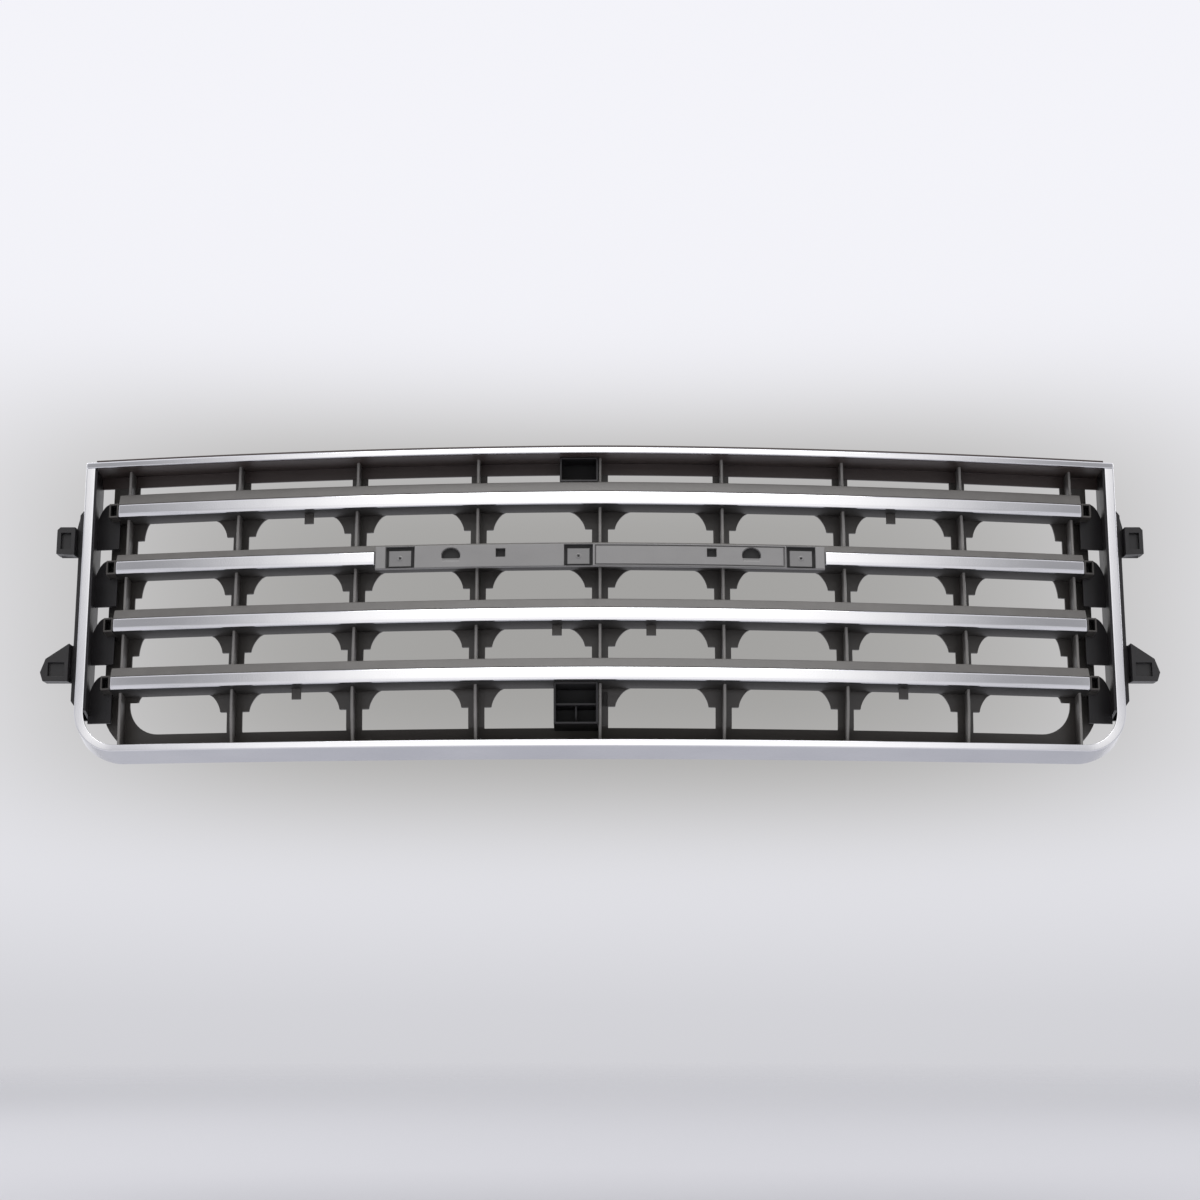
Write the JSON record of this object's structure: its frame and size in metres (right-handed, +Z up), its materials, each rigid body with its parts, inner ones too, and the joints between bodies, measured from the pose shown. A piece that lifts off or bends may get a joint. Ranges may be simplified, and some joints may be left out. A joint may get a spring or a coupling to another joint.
{
  "type": "front grille",
  "caption": "Vehicle front grille with a bright surround, bowed horizontal bars carrying bright trims, upright ribs and black mounting tabs.",
  "frame": {"origin": "middle of the bounding box", "axes": "+X along the width, +Y to the rear of the vehicle (the bright side faces -Y), +Z up"},
  "size_m": [1.134, 0.1224, 0.3046],
  "materials": {
    "bright_chrome": "bright plated plastic",
    "grey_plastic": "dark grey moulded plastic",
    "black_plastic": "black moulded plastic",
    "plate_plastic": "mid grey moulded plastic",
    "zinc_steel": "zinc plated"
  },
  "bodies": {
    "root": {"surround_moulding": "bright_chrome", "top_moulding": "bright_chrome", "header_rail": "black_plastic", "bottom_rail": "grey_plastic", "right_side_wall": "black_plastic", "left_side_wall": "black_plastic", "cross_bar_1": "grey_plastic", "cross_bar_2": "grey_plastic", "cross_bar_3": "grey_plastic", "cross_bar_4": "grey_plastic", "locating_tab_1_left": "grey_plastic", "locating_tab_1_right": "grey_plastic", "locating_tab_3_left": "grey_plastic", "locating_tab_3_right": "grey_plastic", "locating_tab_4_left": "grey_plastic", "locating_tab_4_right": "grey_plastic", "bright_trim_1": "bright_chrome", "trim_screw_1_1": "zinc_steel", "trim_screw_1_2": "zinc_steel", "trim_screw_1_3": "zinc_steel", "bright_trim_3": "bright_chrome", "trim_screw_3_1": "zinc_steel", "trim_screw_3_2": "zinc_steel", "trim_screw_3_3": "zinc_steel", "bright_trim_4": "bright_chrome", "trim_screw_4_1": "zinc_steel", "trim_screw_4_2": "zinc_steel", "trim_screw_4_3": "zinc_steel", "bright_trim_2_left": "bright_chrome", "trim_screw_2_left_1": "zinc_steel", "trim_screw_2_left_2": "zinc_steel", "bright_trim_2_right": "bright_chrome", "trim_screw_2_right_1": "zinc_steel", "trim_screw_2_right_2": "zinc_steel", "badge_plate": "plate_plastic", "badge_plate_screw_1": "zinc_steel", "badge_plate_screw_2": "zinc_steel", "badge_plate_screw_3": "zinc_steel", "upright_rib_2": "grey_plastic", "upright_rib_3": "grey_plastic", "upright_rib_4": "grey_plastic", "upright_rib_5": "grey_plastic", "upright_rib_6": "grey_plastic", "upright_rib_7": "grey_plastic", "upright_rib_8": "grey_plastic", "upright_rib_9": "grey_plastic", "upright_rib_1": "grey_plastic", "upper_centre_box": "black_plastic", "lower_centre_box": "black_plastic", "upper_right_mount_tab": "black_plastic", "upper_left_mount_tab": "black_plastic", "upper_right_tab_screw": "zinc_steel", "upper_left_tab_screw": "zinc_steel", "lower_right_mount_tab": "black_plastic", "lower_left_mount_tab": "black_plastic", "lower_right_tab_screw": "zinc_steel", "lower_left_tab_screw": "zinc_steel"}
  },
  "joints": []
}
